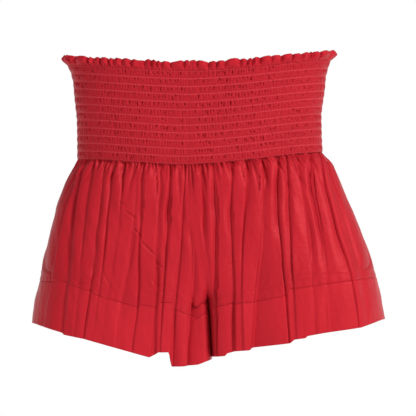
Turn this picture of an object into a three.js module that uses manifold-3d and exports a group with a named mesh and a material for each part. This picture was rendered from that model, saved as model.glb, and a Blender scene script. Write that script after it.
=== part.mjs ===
// Pull-on shorts with a deep shirred waistband, a ruffled heading, full gathered legs and deep hem bands.
// Millimetres, +Z up. The front faces -Y and the wearer's left is +X. The origin is the centre of the waist
// opening, level with the first elastic row at the side of the waist.
//
// Every cloth surface follows one shape, the envelope, by two numbers:
//   drop   how far a line across the cloth lies below the first elastic row, measured at the side
//   share  the place along that line: 0 centre front or inseam, 1 outermost side, 2 centre back or inseam
// The cloth has its folds and puckers inside a wall that starts at the envelope and goes inwards by inset.
import * as THREE from "three";
import { mergeVertices } from "three/addons/utils/BufferGeometryUtils.js";
import Module from "manifold-3d";

const wasm = await Module();
wasm.setup();

// ---- Driving dimensions -------------------------------------------------------------------------

// Shirred waistband
const rowCount = 13; // elastic rows
const rowPitch = 9.35;
const waistHalfWidth = 149; // at the narrowest elastic row
const topHalfWidth = 160; // at the first elastic row
const waistHalfDepth = 58;
const waistSag = 13; // how much lower a row hangs at the centre than at the side
const shirrWall = 4; // depth of the puckers
const elasticSize = 1; // shirring elastic under tension

// Ruffled heading above the first row
const headingHeight = 12.5;
const headingFlare = 5; // how far its edge leans out at the side
const ruffleWall = 2.2;
const ruffleDepth = 2.4; // wave of its edge, in and out
const ruffleWaves = 14; // on each half of the waist

// Gathered legs
const crotchDrop = 253;
const inseamLength = 61.5; // from the crotch to the hem
const hemHalfWidth = 212.5;
const hemHalfDepth = 82;
const hemSag = 45.5; // how much lower the hem is at the inseam than at the side
const flareCurve = 1.45; // above 1, the cloth swells out soon after the waistband
const skirtWall = 7; // depth of the folds
const splitBelowShirring = 18; // where the two legs start to part
const legGapAtHem = 8; // between the two inseams
const plumpness = 2.4; // exponent of the plan curve: 2 is an ellipse, more is squarer
const hemBandHeight = 51;
const hemThreadSize = 0.9; // the row of stitches that holds the hem band

// Side seams and pockets. A facing backs each pocket mouth, and the bag hangs inside the front.
const sideSeamShare = 0.7; // the seams wrap onto the front
const mouthBelowShirring = 12;
const mouthLength = 52;
const facingShares = 0.15; // width of the facing
const bagShares = 0.21; // width of the bag
const bagAboveHemSeam = 6.5;
const bagCornerRise = 30; // height of the rounding at the lower corners
const pocketCloth = 0.8;

// Seam allowances, overlocked, and the blank care label
const allowanceWidth = 8;
const allowanceThickness = 1.6;
const labelWidth = 28;
const labelHeight = 42;
const labelThickness = 0.7;

// Hip joints: a leg parts from the hips at a double cone about the hip axis
const hipAxisBelowShirring = 37.8;
const coneSideRadius = 76; // its radius from coneSideX outwards
const coneSideX = 108;
const coneMargin = 2; // how far it reaches below the crotch
const swingClearance = 0.6;

const fitGap = 0.3; // between pieces that touch
const liningGap = 1.1; // between the inside of the wall and the pieces that lie against it
const layerGap = 0.5; // between the two layers of a pocket bag
const waistColumns = 10; // facets on one share of the shirred band
const legColumns = 14; // facets on one share of the leg panels

// ---- The envelope -------------------------------------------------------------------------------

const shirrDrop = (rowCount - 1) * rowPitch; // the last elastic row, where the gathers start
const hemDrop = crotchDrop + inseamLength;
const hemSeamDrop = hemDrop - hemBandHeight;
const splitDrop = shirrDrop + splitBelowShirring;
const mouthTopDrop = shirrDrop + mouthBelowShirring;
const mouthBottomDrop = mouthTopDrop + mouthLength;
const hipAxisZ = -shirrDrop - hipAxisBelowShirring;
const lining = skirtWall + liningGap; // inset of the pieces inside the legs

// 0 at the last elastic row and above, 1 at the hem.
function downLeg(drop) {
  return Math.min(Math.max((drop - shirrDrop) / (hemDrop - shirrDrop), 0), 1);
}

function sagAt(drop) {
  return waistSag + (hemSag - waistSag) * downLeg(drop);
}

function flareAt(drop) {
  return 1 - (1 - downLeg(drop)) ** flareCurve;
}

function headingLean(drop) {
  return (headingFlare * Math.max(-drop, 0)) / headingHeight;
}

function halfWidthAt(drop) {
  const aboveWaist = Math.max(1 - Math.max(drop, 0) / (0.6 * shirrDrop), 0);
  const atTop = (topHalfWidth - waistHalfWidth) * aboveWaist ** 2;
  return waistHalfWidth + atTop + headingLean(drop) + (hemHalfWidth - waistHalfWidth) * flareAt(drop);
}

function halfDepthAt(drop) {
  return waistHalfDepth + 0.5 * headingLean(drop) + (hemHalfDepth - waistHalfDepth) * flareAt(drop);
}

// Distance from the middle plane to the inner edge of one half.
function innerEdgeAt(drop) {
  const below = Math.max(drop - crotchDrop, 0) / (hemDrop - crotchDrop);
  return fitGap / 2 + ((legGapAtHem - fitGap) / 2) * below;
}

// The plan curve of the left half, from its inner edge round the front to its outermost point, with the
// running length at each point. Above the split it is a quarter of a superellipse about the middle plane.
// From there its centre moves out until, at the crotch, it is the front half of a closed leg.
function makePlanCurve(drop, innerEdge) {
  const halfWidth = halfWidthAt(drop);
  const halfDepth = halfDepthAt(drop);
  const parted = Math.min(Math.max((drop - splitDrop) / (crotchDrop - splitDrop), 0), 1);
  const centre = (1 - (1 - parted) ** 1.3) * 0.5 * (halfWidth + innerEdge);
  const reach = halfWidth - centre;
  const power = 2 / plumpness;
  const start = Math.max((innerEdge - centre) / reach, -1);
  const startAngle = Math.acos(Math.sign(start) * Math.abs(start) ** (1 / power));
  const points = [];
  const steps = 96;
  for (let i = 0; i <= steps; i++) {
    const angle = startAngle * (1 - i / steps);
    const c = Math.cos(angle);
    const x = centre + reach * Math.sign(c) * Math.abs(c) ** power;
    const y = -halfDepth * Math.max(Math.sin(angle), 0) ** power;
    const last = points[i - 1];
    points.push({ x, y, length: last ? last.length + Math.hypot(x - last.x, y - last.y) : 0 });
  }
  return points;
}

const knownCurves = new Map();

function planCurve(drop, innerEdge = innerEdgeAt(drop)) {
  const key = `${drop.toFixed(4)} ${innerEdge.toFixed(4)}`;
  if (!knownCurves.has(key)) knownCurves.set(key, makePlanCurve(drop, innerEdge));
  return knownCurves.get(key);
}

function shareLength(drop) {
  return planCurve(drop).at(-1).length;
}

// The point of the left half at a share and a drop, moved inwards by inset along the plan normal.
function envelopePoint(share, drop, inset, innerEdge = innerEdgeAt(drop)) {
  const curve = planCurve(drop, innerEdge);
  const back = share > 1;
  const wanted = Math.min(Math.max(back ? 2 - share : share, 0), 1) * curve.at(-1).length;
  let i = 1;
  while (i < curve.length - 1 && curve[i].length < wanted) i++;
  const t = (wanted - curve[i - 1].length) / (curve[i].length - curve[i - 1].length);
  const x = curve[i - 1].x + (curve[i].x - curve[i - 1].x) * t;
  const y = curve[i - 1].y + (curve[i].y - curve[i - 1].y) * t;
  const before = curve[Math.max(i - 3, 0)];
  const after = curve[Math.min(i + 2, curve.length - 1)];
  const outermost = i >= curve.length - 2;
  const run = outermost ? 0 : after.x - before.x;
  const rise = outermost ? 1 : after.y - before.y;
  const size = Math.hypot(run, rise);
  const insideX = Math.max(x - (inset * rise) / size, innerEdge);
  const insideY = Math.min(y + (inset * run) / size, -fitGap / 2);
  const sag = sagAt(drop) * (1 - Math.min(Math.abs(x) / halfWidthAt(drop), 1) ** 1.3);
  return new THREE.Vector3(insideX, back ? -insideY : insideY, -drop - sag);
}

// ---- Solids -------------------------------------------------------------------------------------

function solidFrom(points, faces) {
  return new wasm.Manifold(
    new wasm.Mesh({
      numProp: 3,
      vertProperties: new Float32Array(points.flatMap((p) => [p.x, p.y, p.z])),
      triVerts: new Uint32Array(faces.flat()),
    }),
  );
}

function solidFromGeometry(geometry, ...matrices) {
  for (const matrix of matrices) geometry.applyMatrix4(matrix);
  geometry.deleteAttribute("normal");
  geometry.deleteAttribute("uv");
  const merged = mergeVertices(geometry, 1e-4);
  return new wasm.Manifold(
    new wasm.Mesh({
      numProp: 3,
      vertProperties: new Float32Array(merged.attributes.position.array),
      triVerts: new Uint32Array(merged.index.array),
    }),
  );
}

function quad(a, b, c, d) {
  return [
    [a, b, c],
    [a, c, d],
  ];
}

// A closed wall over a range of shares, between two insets. top and bottom are drops, or functions from
// share to drop. levels are the places of its rows, from 0 at the top to 1 at the bottom. wave, if given,
// moves both faces inwards by an amount that varies over the wall.
function wall({ from, to, top, bottom, outer, inner, columns, levels, wave = () => 0 }) {
  const dropAt = (edge, share) => (typeof edge === "function" ? edge(share) : edge);
  const rows = levels.length - 1;
  const points = [];
  for (const inset of [outer, inner]) {
    for (let r = 0; r <= rows; r++) {
      for (let c = 0; c <= columns; c++) {
        const share = from + ((to - from) * c) / columns;
        const high = dropAt(top, share);
        const drop = high + (dropAt(bottom, share) - high) * levels[r];
        points.push(envelopePoint(share, drop, inset + wave(share, drop)));
      }
    }
  }
  const out = (r, c) => r * (columns + 1) + c;
  const into = (r, c) => out(r + rows + 1, c);
  const faces = [];
  for (let r = 0; r < rows; r++) {
    for (let c = 0; c < columns; c++) {
      faces.push(...quad(out(r, c), out(r + 1, c), out(r + 1, c + 1), out(r, c + 1)));
      faces.push(...quad(into(r, c), into(r, c + 1), into(r + 1, c + 1), into(r + 1, c)));
    }
  }
  for (let c = 0; c < columns; c++) {
    faces.push(...quad(out(0, c), out(0, c + 1), into(0, c + 1), into(0, c)));
    faces.push(...quad(out(rows, c + 1), out(rows, c), into(rows, c), into(rows, c + 1)));
  }
  for (let r = 0; r < rows; r++) {
    faces.push(...quad(out(r + 1, 0), out(r, 0), into(r, 0), into(r + 1, 0)));
    faces.push(...quad(out(r, columns), out(r + 1, columns), into(r + 1, columns), into(r, columns)));
  }
  return solidFrom(points, faces);
}

function evenly(rows) {
  return Array.from({ length: rows + 1 }, (_, r) => r / rows);
}

// A solid through a row of four-cornered sections. It is a closed loop, or has a cap at each end.
function loft(sections, isLoop) {
  const last = sections.length - 1;
  const faces = [];
  sections.forEach((section, i) => {
    if (i === last && !isLoop) return;
    const here = 4 * i;
    const next = 4 * ((i + 1) % sections.length);
    for (let k = 0; k < 4; k++) {
      const m = (k + 1) % 4;
      faces.push(...quad(here + k, here + m, next + m, next + k));
    }
  });
  if (!isLoop) faces.push(...quad(0, 3, 2, 1), ...quad(4 * last, 4 * last + 1, 4 * last + 2, 4 * last + 3));
  return solidFrom(sections.flat(), faces);
}

// A closed loop of square thread. place(turn, drop, inset) gives its points, with turn from 0 to 1.
function threadLoop({ drop, inset, size, count, place }) {
  const sections = [];
  for (let i = 0; i < count; i++) {
    sections.push([
      place(i / count, drop - size / 2, inset),
      place(i / count, drop + size / 2, inset),
      place(i / count, drop + size / 2, inset + size),
      place(i / count, drop - size / 2, inset + size),
    ]);
  }
  return loft(sections, true);
}

// Round the whole waist, from centre front past the wearer's left.
function aroundWaist(turn, drop, inset) {
  const share = 4 * turn;
  const point = envelopePoint(share > 2 ? 4 - share : share, drop, inset, 0);
  return share > 2 ? point.setX(-point.x) : point;
}

// Round one leg, from its inseam past the front.
function aroundLeg(turn, drop, inset) {
  return envelopePoint(2 * turn, drop, inset);
}

// What stays with the hips: all above the hip axis, and a double cone about that axis. Cloth outside the
// cone swings about the axis without touching the hips.
function hipSpace(grown) {
  const crotchZ = -crotchDrop - sagAt(crotchDrop);
  const end = 1.2 * hemHalfWidth;
  const height = 2 * hemDrop;
  const middleRadius = hipAxisZ - crotchZ + coneMargin + grown;
  const sideRadius = coneSideRadius + grown;
  const profile = [
    new THREE.Vector2(0, -end),
    new THREE.Vector2(sideRadius, -end),
    new THREE.Vector2(sideRadius, -coneSideX),
    new THREE.Vector2(middleRadius, 0),
    new THREE.Vector2(sideRadius, coneSideX),
    new THREE.Vector2(sideRadius, end),
    new THREE.Vector2(0, end),
  ];
  const cone = solidFromGeometry(
    new THREE.LatheGeometry(profile, 60),
    new THREE.Matrix4().makeRotationZ(-Math.PI / 2),
    new THREE.Matrix4().makeTranslation(0, 0, hipAxisZ),
  );
  const above = solidFromGeometry(
    new THREE.BoxGeometry(2 * end, 2 * end, height),
    new THREE.Matrix4().makeTranslation(0, 0, hipAxisZ + height / 2),
  );
  return cone.add(above);
}

const hipKeeps = hipSpace(0);
const legAvoids = hipSpace(swingClearance);

// ---- Materials ----------------------------------------------------------------------------------

function cloth(colour, roughness) {
  return new THREE.MeshStandardMaterial({ color: colour, roughness, metalness: 0 });
}

const silk = cloth(0xc8323b, 0.45);
const shirredSilk = cloth(0xba2730, 0.6);
const pocketSilk = cloth(0xb52a33, 0.5);
const elastic = cloth(0xb3252e, 0.8);
const overlock = cloth(0xa92530, 0.7);
const labelTape = cloth(0xf0eeea, 0.8);

// ---- The pieces ---------------------------------------------------------------------------------

const shorts = new THREE.Group();

function addPiece(name, solid, material) {
  const mesh = solid.getMesh();
  const geometry = new THREE.BufferGeometry();
  geometry.setAttribute("position", new THREE.BufferAttribute(new Float32Array(mesh.vertProperties), 3));
  geometry.setIndex(new THREE.BufferAttribute(new Uint32Array(mesh.triVerts), 1));
  const piece = new THREE.Mesh(geometry, material);
  piece.name = name;
  shorts.add(piece);
}

// The wearer's left piece, and its mirror image for the right.
function addPair(name, solid, material) {
  addPiece(`${name}_left`, solid, material);
  addPiece(`${name}_right`, solid.mirror([1, 0, 0]), material);
}

// Front and back of one half meet at the side seam, with the fit gap between them.
function panelRange(panel, drop) {
  const gap = fitGap / 2 / shareLength(drop);
  return panel === "front" ? { from: 0, to: sideSeamShare - gap } : { from: sideSeamShare + gap, to: 2 };
}

function panelColumns(panel, columnsPerShare) {
  return Math.round(columnsPerShare * (panel === "front" ? sideSeamShare : 2 - sideSeamShare));
}

function addHeading(panel) {
  const range = panelRange(panel, 0);
  const waves = Math.round((ruffleWaves / 2) * (range.to - range.from));
  const turn = (share) => (2 * Math.PI * waves * (share - range.from)) / (range.to - range.from);
  const heading = wall({
    ...range,
    top: -headingHeight,
    bottom: -fitGap,
    outer: 0,
    inner: ruffleWall,
    columns: 4 * waves,
    levels: evenly(2),
    wave: (share, drop) => (ruffleDepth * (0.5 - 0.5 * Math.cos(turn(share))) * -drop) / headingHeight,
  });
  addPair(`heading_ruffle_${panel}`, heading, shirredSilk);
}

function addShirredBand(panel) {
  const band = wall({
    ...panelRange(panel, 0),
    top: 0,
    bottom: shirrDrop,
    outer: 0,
    inner: shirrWall,
    columns: panelColumns(panel, waistColumns),
    levels: evenly(4),
  });
  addPair(`shirred_waist_${panel}`, band, shirredSilk);
}

// Each panel below the shirring is one cloth, parted at the cone because a rigid leg has to swing.
// Its rows get closer towards the crotch, where the shape turns fastest.
function addLegPanel(panel) {
  const top = shirrDrop + fitGap;
  const bottom = hemSeamDrop - fitGap;
  const crotchLevel = Math.min((crotchDrop - top) / (bottom - top), 0.98);
  const toCrotch = [0, 0.35, 0.65, 0.85, 0.95, 1].map((part) => part * crotchLevel);
  const wholePanel = wall({
    ...panelRange(panel, shirrDrop),
    top,
    bottom,
    outer: 0,
    inner: skirtWall,
    columns: panelColumns(panel, legColumns),
    levels: [...toCrotch, 1],
  });
  addPair(`hip_panel_${panel}`, wholePanel.intersect(hipKeeps), silk);
  addPair(`leg_panel_${panel}`, wholePanel.subtract(legAvoids), silk);
}

function addHemBand(panel) {
  const band = wall({
    ...panelRange(panel, hemDrop),
    top: hemSeamDrop,
    bottom: hemDrop,
    outer: 0,
    inner: skirtWall,
    columns: panelColumns(panel, legColumns),
    levels: evenly(2),
  });
  addPair(`hem_band_${panel}`, band, silk);
}

function addElasticRows() {
  for (let row = 0; row < rowCount; row++) {
    // The first and last threads stay within the band.
    const drop = Math.min(Math.max(row * rowPitch, elasticSize / 2), shirrDrop - elasticSize / 2);
    const loop = threadLoop({
      drop,
      inset: shirrWall + fitGap,
      size: elasticSize,
      count: 4 * waistColumns,
      place: aroundWaist,
    });
    addPiece(`elastic_row_${String(row + 1).padStart(2, "0")}`, loop, elastic);
  }
}

function addPocketFacings() {
  const facing = wall({
    from: sideSeamShare - 0.01 - facingShares,
    to: sideSeamShare - 0.01,
    top: mouthTopDrop,
    bottom: mouthBottomDrop,
    outer: lining,
    inner: lining + pocketCloth,
    columns: 3,
    levels: evenly(3),
  });
  addPair("pocket_facing", facing.intersect(hipKeeps), pocketSilk);
}

// The two layers of a pocket bag, with round lower corners.
function addPocketBags() {
  const to = sideSeamShare - 0.01;
  const from = to - bagShares;
  const lowest = hemSeamDrop - bagAboveHemSeam;
  const cornerShare = 0.35 * (to - from);
  const bottom = (share) => {
    const intoCorner = Math.max(1 - Math.min(share - from, to - share) / cornerShare, 0);
    return lowest - bagCornerRise * (1 - Math.sqrt(Math.max(1 - intoCorner ** 2, 0)));
  };
  ["front", "back"].forEach((layer, i) => {
    const outer = lining + i * (pocketCloth + layerGap);
    const bag = wall({
      from,
      to,
      top: mouthBottomDrop,
      bottom,
      outer,
      inner: outer + pocketCloth,
      columns: 9,
      levels: evenly(3),
    });
    addPair(`pocket_bag_${layer}`, bag.subtract(legAvoids), pocketSilk);
  });
}

// The allowance of the side seam is pressed towards the back and lies flat against the wall.
function addSideSeams() {
  const allowance = wall({
    from: sideSeamShare + 0.005,
    to: sideSeamShare + 0.005 + allowanceWidth / shareLength(hemSeamDrop),
    top: shirrDrop + 1,
    bottom: hemDrop - 1,
    outer: lining,
    inner: lining + allowanceThickness,
    columns: 1,
    levels: evenly(10),
  });
  addPair("side_seam_hip", allowance.intersect(hipKeeps), overlock);
  addPair("side_seam_leg", allowance.subtract(legAvoids), overlock);
}

// The rise seam runs down the centre front, under the crotch and up the centre back. Its allowance stands
// in the middle plane, against the inside of the wall.
function addRiseSeam() {
  const top = shirrDrop + 1;
  const steps = 16;
  const outer = [];
  for (let i = 0; i <= steps; i++) {
    const drop = top + (crotchDrop - top) * Math.sin((0.5 * Math.PI * i) / steps);
    const edge = envelopePoint(0, drop, 0, 0);
    const depth = -edge.y - lining;
    if (depth > 1) outer.push([-depth, edge.z]);
  }
  const floor = outer.at(-1)[1];
  const inner = outer
    .map(([y, z]) => [y + allowanceWidth, z])
    .filter(([y, z]) => y < -1 && z > floor + allowanceWidth);
  const toBack = (line) => line.map(([y, z]) => [-y, z]);
  const outline = [...outer, ...toBack(outer).reverse(), ...toBack(inner), ...[...inner].reverse()];
  const shape = new THREE.Shape(outline.map(([y, z]) => new THREE.Vector2(y, z)));
  const depth = allowanceThickness;
  const plate = new THREE.ExtrudeGeometry(shape, { depth, bevelEnabled: false });
  const upright = new THREE.Matrix4().set(0, 0, 1, -depth / 2, 1, 0, 0, 0, 0, 1, 0, 0, 0, 0, 0, 1);
  addPiece("rise_seam", solidFromGeometry(plate, upright), overlock);
}

// The inseam allowance is a short strip behind the inner edge of the leg, from the crotch to the hem.
function addInseams() {
  const half = allowanceWidth / 2 / shareLength(hemSeamDrop);
  const top = crotchDrop + allowanceWidth;
  const rows = 5;
  const sections = [];
  for (let r = 0; r <= rows; r++) {
    const drop = top + ((hemDrop - 1 - top) * r) / rows;
    sections.push([
      envelopePoint(half, drop, lining),
      envelopePoint(2 - half, drop, lining),
      envelopePoint(2 - half, drop, lining + allowanceThickness),
      envelopePoint(half, drop, lining + allowanceThickness),
    ]);
  }
  addPair("inseam", loft(sections, false), overlock);
}

function addHemStitches() {
  const loop = threadLoop({
    drop: hemSeamDrop + hemThreadSize,
    inset: lining + allowanceThickness + fitGap,
    size: hemThreadSize,
    count: 2 * legColumns,
    place: aroundLeg,
  });
  addPair("hem_stitch", loop, overlock);
}

function addCareLabel() {
  const fromSeam = allowanceWidth / 2;
  const label = wall({
    from: 2 - (fromSeam + labelWidth) / shareLength(shirrDrop),
    to: 2 - fromSeam / shareLength(shirrDrop),
    top: shirrDrop + 2,
    bottom: shirrDrop + 2 + labelHeight,
    outer: lining,
    inner: lining + labelThickness,
    columns: 2,
    levels: evenly(2),
  });
  addPiece("care_label", label, labelTape);
}

for (const panel of ["front", "back"]) {
  addHeading(panel);
  addShirredBand(panel);
  addLegPanel(panel);
  addHemBand(panel);
}
addElasticRows();
addPocketFacings();
addPocketBags();
addSideSeams();
addRiseSeam();
addInseams();
addHemStitches();
addCareLabel();

export default shorts;
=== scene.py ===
import bpy
import bmesh
import math
import numpy as np
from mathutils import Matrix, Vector


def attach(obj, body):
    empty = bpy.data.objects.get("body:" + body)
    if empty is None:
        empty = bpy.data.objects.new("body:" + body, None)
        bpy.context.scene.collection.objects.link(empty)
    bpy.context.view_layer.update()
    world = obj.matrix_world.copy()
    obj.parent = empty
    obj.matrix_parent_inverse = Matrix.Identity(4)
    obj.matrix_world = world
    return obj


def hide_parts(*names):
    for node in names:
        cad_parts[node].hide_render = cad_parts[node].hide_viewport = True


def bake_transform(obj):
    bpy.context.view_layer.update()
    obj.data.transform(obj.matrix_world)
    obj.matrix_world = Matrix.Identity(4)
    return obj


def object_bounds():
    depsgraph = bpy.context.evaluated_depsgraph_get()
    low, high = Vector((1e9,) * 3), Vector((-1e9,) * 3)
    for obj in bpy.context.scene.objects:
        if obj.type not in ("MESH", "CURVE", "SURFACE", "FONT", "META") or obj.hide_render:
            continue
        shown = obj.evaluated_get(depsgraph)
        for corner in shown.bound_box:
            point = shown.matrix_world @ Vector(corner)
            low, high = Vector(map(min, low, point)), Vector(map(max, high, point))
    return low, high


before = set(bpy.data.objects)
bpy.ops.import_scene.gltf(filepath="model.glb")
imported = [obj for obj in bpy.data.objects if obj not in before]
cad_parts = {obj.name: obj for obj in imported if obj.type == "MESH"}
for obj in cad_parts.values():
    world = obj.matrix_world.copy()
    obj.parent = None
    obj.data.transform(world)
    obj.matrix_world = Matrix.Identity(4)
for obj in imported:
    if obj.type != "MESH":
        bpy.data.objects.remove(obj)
cadBox = [list(corner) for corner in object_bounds()]
print("frame loaded")

# Silky pull-on shorts. Lengths are in millimetres until a mesh is made.
# The cloth is laid out by level, how far below the first elastic row a line lies at the side of the waist,
# and by share, the place along that line on one half: 0 middle, 1 outermost side, 2 middle of the back.

layout = {  # the levels that everything is placed by, and the cloth
    "rows": 13, "rowPitch": 9.35, "splitLevel": 130, "crotchLevel": 253,
    "hemLevel": 314.5, "hemBand": 51, "legGap": 0.12, "clothThickness": 0.35,
}
lastRow = (layout["rows"] - 1) * layout["rowPitch"]
hemSeam = layout["hemLevel"] - layout["hemBand"]

outline = {  # the half widths seen from the front, and the half depth
    "levelLeft": [
        -12.5, -8, -3, 0, 8, 20, 36, 65, 94, 112.2, 120, 127.5, 135, 149, 169, 186, 200.5, 222, 244, 266,
        288, 314.5,
    ],
    "widthLeft": [
        164, 166, 162.5, 160, 157, 154, 152.7, 148.5, 149, 150, 156, 162, 166, 172, 179.5, 187, 193, 201.4,
        208.7, 215, 219.7, 224,
    ],
    "levelRight": [
        -12.5, -8, -3, 0, 8, 20, 36, 65, 94, 112.2, 119.5, 127, 134, 141, 156, 170.6, 185, 200, 229, 258,
        287, 314.5,
    ],
    "widthRight": [
        164, 166.5, 163, 161, 157, 154, 152.7, 149.5, 149, 149, 151, 155, 159, 162.5, 168.5, 173.4, 177,
        180.7, 186.8, 193, 199, 203,
    ],
    "levelDepth": [-12.5, 0, 30, 112.2, 130, 200, 260, 314.5],
    "depth": [60, 58, 57, 57, 61, 70, 77, 81],
    "levelMiddle": [-12.5, 112.2, 165, 182, 208, 242, 270, 314.5],
    "middle": [-12, -12, -11, -5.5, 2.7, 9, 12, 15],
    "plumpness": 2.4, "squarer": 4.5,  # superellipse powers: of the whole, and how much more at the inner thighs
    "points": 161,  # along the front of a half
}
heights = {  # z of lines across the cloth, from the middle (0) to the outermost side (1)
    "place": [0, 0.1, 0.2, 0.3, 0.4, 0.5, 0.6, 0.7, 0.8, 0.9, 1],
    "firstRowLeft": [-10, -9.5, -8.6, -7.4, -6, -4.3, -2.4, -0.4, 1.5, 3.2, 4.5],
    "firstRowRight": [-10, -9.7, -9.2, -8.5, -7.7, -6.8, -5.8, -4.7, -3.6, -2.5, -1.5],
    "lastRowLeft": [-121.5, -120.6, -119.6, -118, -116.4, -114.5, -112.5, -110.5, -108.7, -107.3, -106.5],
    "lastRowRight": [-121.8, -121.6, -121, -120.2, -119.3, -118.3, -117.2, -116.2, -115.4, -115, -115],
    "hemBackLeft": [-349, -343, -340, -335, -331, -326, -321, -317, -314, -312, -309.5],
    "hemBackRight": [-349, -348, -345, -341, -337, -333, -329, -324, -320, -317, -314],
}
steps = {  # z of the hem and of the seam above it on the front, by distance from the middle of the body
    "hemRight": [-14.0, 1.8, 22.5, 34.0, 36.5, 49.3, 51.7, 60.2, 138.1, 162.5, 165.3, 202.6],
    "hemRightZ": [
        -356.7, -362.7, -364.5, -364.5, -347.5, -347.5, -349.3, -353.5, -331.6, -326.8, -324.3, -313.4,
    ],
    "hemLeft": [15.8, 31.0, 33.5, 43.2, 60.2, 63.3, 108.9, 113.8, 127.2, 129.0, 149.9, 194.1, 224.5],
    "hemLeftZ": [
        -353.5, -351.8, -348.7, -346.2, -345.0, -342.0, -336.5, -332.2, -330.4, -328.0, -324.3, -318.2,
        -308.5,
    ],
    "seamRight": [-14.0, 5.5, 7.9, 30.4, 32.3, 49.3, 51.7, 71.2, 73.6, 127.2, 129.6, 155.8, 157.6, 190.5],
    "seamRightZ": [
        -300.0, -308.5, -304.9, -296.3, -288.4, -287.8, -293.9, -290.3, -293.9, -278.1, -274.4, -267.1,
        -263.5, -262.3,
    ],
    "seamLeft": [15.2, 40.8, 62.7, 65.1, 104.1, 107.7, 151.5, 214.8],
    "seamLeftZ": [-293.9, -289.0, -287.8, -287.2, -279.3, -272.0, -265.9, -257.4],
}

# The pressed folds of each half, from the middle outwards: x of the fold line at five heights of the leg, how
# strong it is there, which neighbour lies on top (1 the inner one, -1 the outer), and how much the cloth just
# inside the line rises outwards at the top, middle and bottom of the leg.
foldHeights = [0.065, 0.22, 0.46, 0.70, 0.94]
foldsLeft = [
    ([3, 3, 6, 13, 16], [0.6, 0.65, 0.2, 0, 0], 1, [0.05, 0.0, 0.0]),
    ([16.4, 21.3, 20, 20.5, 21.5], [0.5, 0.65, 0.6, 0.7, 0.9], -1, [0.0, 0.1, 0.15]),
    ([39.6, 38.3, 39.6, 43.2, 42], [0.4, 0.5, 0.6, 0.55, 0.5], -1, [0.1, 0.0, -0.25]),
    ([57.8, 55.4, 51, 50, 52], [0.8, 0.7, 0.3, 0, 0], 1, [0.05, -0.05, -0.25]),
    ([77.3, 76, 75, 67.5, 64], [0.6, 0.5, 0.25, 0.2, 0.2], 1, [-0.1, -0.2, -0.3]),
    ([97, 95.5, 98, 102.8, 107], [0.7, 0.9, 0.65, 0.5, 0.4], -1, [0.0, 0.15, 0.25]),
    ([106, 109, 109, 111.5, 115], [0.5, 0.4, 0.55, 0.25, 0.05], -1, [0.0, -0.15, -0.25]),
    ([120, 124.7, 133.3, 137, 141], [0.5, 0.5, 0.5, 0.1, 0], 1, [0.0, -0.1, -0.1]),
    ([137, 138, 147.9, 151.5, 155], [0.6, 0.85, 0.5, 0.1, 0], -1, [0.0, 0.15, -0.1]),
    ([149, 153.5, 166, 182, 190], [0.5, 0.5, 0.4, 0.3, 0.1], -1, [0.3, 0.15, 0.15]),
    ([155, 165, 182, 196, 204], [0.3, 0.2, 0.1, 0.1, 0.1], -1, [-0.15, -0.15, -0.15]),
]
foldsRight = [
    ([-14, -14, -6.7, -9, -15], [0, 0.1, 0.3, 0.5, 0.6], -1, [0.0, -0.3, -0.25]),
    ([-16, -19.5, -22, -28.6, -31.6], [0.5, 0.5, 0.3, 0.35, 0.65], -1, [0.0, 0.2, 0.3]),
    ([-34.7, -34.7, -39.5, -43.5, -47], [0.5, 0.6, 0.6, 0.3, 0], 1, [-0.05, 0.15, 0.3]),
    ([-48, -48.5, -52, -51.5, -55.5], [0.6, 0.45, 0.35, 0.5, 0.7], -1, [0.0, -0.2, 0.0]),
    ([-68.8, -68.8, -72.4, -72.4, -80], [0.6, 0.75, 0.5, 0.25, 0.2], 1, [0.15, 0.0, 0.1]),
    ([-74, -76, -81, -94, -100], [0, 0.1, 0.25, 0.2, 0.1], -1, [-0.05, -0.35, 0.0]),
    ([-90.7, -95, -98, -106, -114], [0.6, 0.15, 0, 0, 0], 1, [0.05, 0.05, 0.0]),
    ([-106.5, -109, -113, -120, -127], [0.55, 0.6, 0.4, 0.1, 0], 1, [-0.25, 0.15, 0.05]),
    ([-116, -117, -125.4, -129, -138], [0.3, 0.5, 0.4, 0.35, 0.35], 1, [-0.4, -0.35, 0.0]),
    ([-128, -135.7, -140.6, -146, -152], [0.5, 0.4, 0.2, 0, 0], 1, [-0.1, 0.0, -0.15]),
    ([-140.6, -147.9, -154.6, -157, -164], [0.6, 0.6, 0.4, 0.3, 0.35], 1, [0.15, -0.1, 0.0]),
    ([-147, -157, -170, -177, -186], [0.3, 0.2, 0.1, 0, 0], 1, [0.4, 0.25, 0.0]),
]


backFolds = {"count": 13, "spread": 0.42, "lean": 0.032, "sway": 0.006}  # shares of a half, but for the count


def interpRows(at, places, values):
    # Row by row interpolation of values at places, which rise from 0 to 1: each row is moved two along a
    # common axis, so that one call does them all.
    step = 2.0 * np.arange(len(at))[:, None]
    return np.interp((np.clip(at, 0, 1) + step).ravel(), (places + step).ravel(), values.ravel()).reshape(at.shape)


def smooth(t):
    # From 0 to 1 with flat ends: three times t squared less twice t cubed.
    t = np.clip(t, 0, 1)
    return t * t * (3 - 2 * t)


def blurRows(values, width):
    # Each row becomes the Gaussian mean of the rows within width rows of it.
    reach = int(3 * width) + 1
    weights = np.exp(-0.5 * (np.arange(-reach, reach + 1) / width) ** 2)
    weights /= weights.sum()
    padded = np.concatenate([np.repeat(values[:1], reach, 0), values, np.repeat(values[-1:], reach, 0)])
    return np.apply_along_axis(lambda column: np.convolve(column, weights, "valid"), 0, padded)


def wander(place, size, seed, octaves=3):
    # A smooth random line, about from -1 to 1: sines whose lengths are near size, size/2 and so on.
    made = np.random.default_rng(seed)
    total = np.zeros_like(np.asarray(place, float))
    for octave in range(octaves):
        for _ in range(3):
            length = size / 2 ** octave * made.uniform(0.7, 1.4)
            total = total + np.sin(2 * np.pi * place / length + made.uniform(0, 6.28)) / 2 ** octave
    return total / 3


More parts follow.
